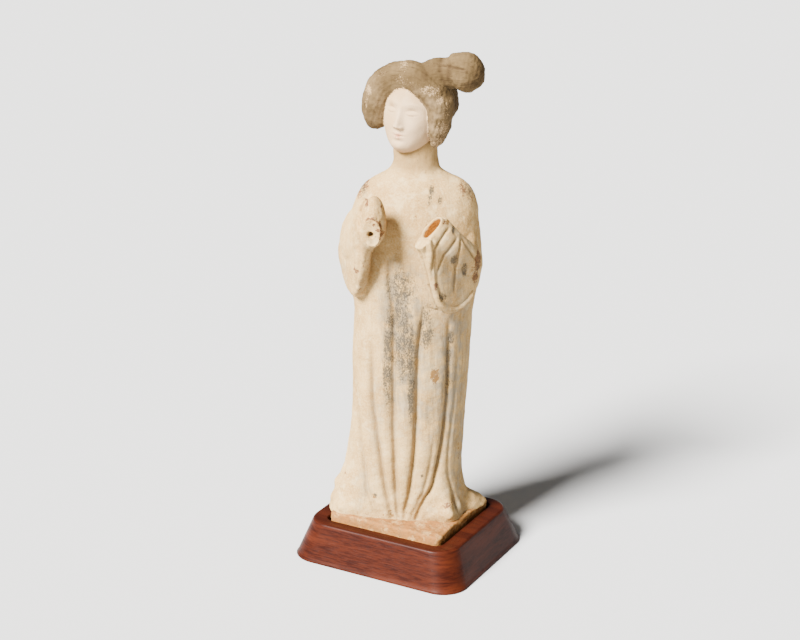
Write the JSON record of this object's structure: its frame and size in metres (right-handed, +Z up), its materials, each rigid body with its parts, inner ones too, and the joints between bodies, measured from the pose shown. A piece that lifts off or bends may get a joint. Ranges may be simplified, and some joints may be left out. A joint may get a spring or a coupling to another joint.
{
  "type": "court lady tomb figure on wooden stand",
  "caption": "Painted pottery figure of a robed court lady with a rolled coiffure, standing on her own thin plate set into a tapered wooden stand",
  "frame": {"origin": "centre of the stand's underside", "axes": "+Z up; -Y is the long front side of the stand that the face looks over; +X is the figure's left; the body is turned 20 degrees about +Z on its plate"},
  "size_m": [0.1536, 0.1336, 0.4129],
  "materials": {
    "painted_pottery": "matt worn slip over terracotta",
    "polished_wood": "glossy red-brown varnish"
  },
  "bodies": {
    "root": {"court_lady_figure": "painted_pottery", "wooden_stand": "polished_wood"}
  },
  "joints": []
}
